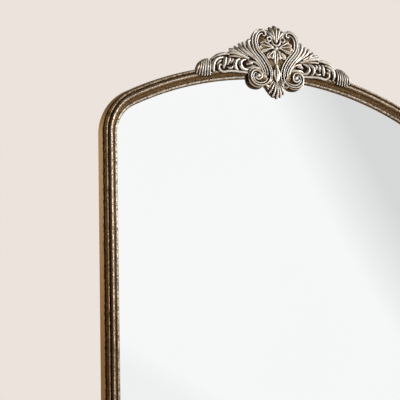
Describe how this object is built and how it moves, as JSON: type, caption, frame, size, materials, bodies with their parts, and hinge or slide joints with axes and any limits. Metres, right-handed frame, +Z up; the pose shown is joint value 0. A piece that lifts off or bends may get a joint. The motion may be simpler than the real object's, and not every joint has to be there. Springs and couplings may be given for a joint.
{
  "type": "arched wall mirror",
  "caption": "Tall wall mirror with an arched, beaded gilt frame and a carved scroll-and-leaf crest, hung on swinging D-rings, its back held by turn buttons.",
  "frame": {"origin": "on the wall plane and the centreline, at the height where the wall hooks carry the D-rings", "axes": "+X to the viewer's right, +Y into the wall (the front faces -Y), +Z up"},
  "size_m": [0.76, 0.0611, 1.0775],
  "materials": {
    "gilt_wood": "antique champagne-silver gilding, rubbed on the beads and dark in the grooves",
    "gilt_casting": "cast resin, antique champagne-silver gilding with a dark glaze in the recesses",
    "silvered_glass": "silvered float glass",
    "stained_wood": "dark stain",
    "beech": "plain",
    "fibreboard": "smooth brown board",
    "white_foam": "closed-cell foam",
    "black_rubber": "matt",
    "brass_plate": "brass plated",
    "zinc_steel": "zinc plated"
  },
  "bodies": {
    "mirror": {"head_rail": "gilt_wood", "left_shoulder": "gilt_wood", "right_shoulder": "gilt_wood", "left_stile": "gilt_wood", "right_stile": "gilt_wood", "left_lower_corner": "gilt_wood", "right_lower_corner": "gilt_wood", "bottom_rail": "gilt_wood", "crest_cartouche": "gilt_casting", "crest_left_wing": "gilt_casting", "crest_right_wing": "gilt_casting", "mirror_glass": "silvered_glass", "crest_block": "stained_wood", "frame_dowels": "beech", "back_board": "fibreboard", "foam_sheet": "white_foam", "left_wall_bumper": "black_rubber", "right_wall_bumper": "black_rubber", "glass_setting_blocks": "black_rubber", "left_hanger_strap": "zinc_steel", "right_hanger_strap": "zinc_steel", "hanger_screws": "zinc_steel", "turn_button_screws": "zinc_steel", "crest_straps": "zinc_steel", "crest_strap_screws": "zinc_steel", "cartouche_screws": "zinc_steel", "wing_screws": "zinc_steel"},
    "left_ring": {"left_d_ring": "zinc_steel"},
    "right_ring": {"right_d_ring": "zinc_steel"},
    "button_top_left": {"turn_button_top_left": "brass_plate"},
    "button_left_upper": {"turn_button_left_upper": "brass_plate"},
    "button_left_lower": {"turn_button_left_lower": "brass_plate"},
    "button_bottom_left": {"turn_button_bottom_left": "brass_plate"},
    "button_top_right": {"turn_button_top_right": "brass_plate"},
    "button_right_upper": {"turn_button_right_upper": "brass_plate"},
    "button_right_lower": {"turn_button_right_lower": "brass_plate"},
    "button_bottom_right": {"turn_button_bottom_right": "brass_plate"}
  },
  "joints": [
    {"name": "left_ring_swing", "type": "hinge", "parent": "mirror", "child": "left_ring", "pos_m": [-0.3665, -0.0028, -0.017], "axis": [-1, 0, 0], "range_deg": [0, 170]},
    {"name": "right_ring_swing", "type": "hinge", "parent": "mirror", "child": "right_ring", "pos_m": [0.3665, -0.0028, -0.017], "axis": [-1, 0, 0], "range_deg": [0, 170]},
    {"name": "button_top_left_turn", "type": "hinge", "parent": "mirror", "child": "button_top_left", "pos_m": [-0.155, -0.0056, 0.21737], "axis": [0, 1, 0], "continuous": true},
    {"name": "button_left_upper_turn", "type": "hinge", "parent": "mirror", "child": "button_left_upper", "pos_m": [-0.365, -0.0056, -0.11], "axis": [0, 1, 0], "continuous": true},
    {"name": "button_left_lower_turn", "type": "hinge", "parent": "mirror", "child": "button_left_lower", "pos_m": [-0.365, -0.0056, -0.52], "axis": [0, 1, 0], "continuous": true},
    {"name": "button_bottom_left_turn", "type": "hinge", "parent": "mirror", "child": "button_bottom_left", "pos_m": [-0.19, -0.0056, -0.735], "axis": [0, 1, 0], "continuous": true},
    {"name": "button_top_right_turn", "type": "hinge", "parent": "mirror", "child": "button_top_right", "pos_m": [0.155, -0.0056, 0.21737], "axis": [0, 1, 0], "continuous": true},
    {"name": "button_right_upper_turn", "type": "hinge", "parent": "mirror", "child": "button_right_upper", "pos_m": [0.365, -0.0056, -0.11], "axis": [0, 1, 0], "continuous": true},
    {"name": "button_right_lower_turn", "type": "hinge", "parent": "mirror", "child": "button_right_lower", "pos_m": [0.365, -0.0056, -0.52], "axis": [0, 1, 0], "continuous": true},
    {"name": "button_bottom_right_turn", "type": "hinge", "parent": "mirror", "child": "button_bottom_right", "pos_m": [0.19, -0.0056, -0.735], "axis": [0, 1, 0], "continuous": true}
  ]
}
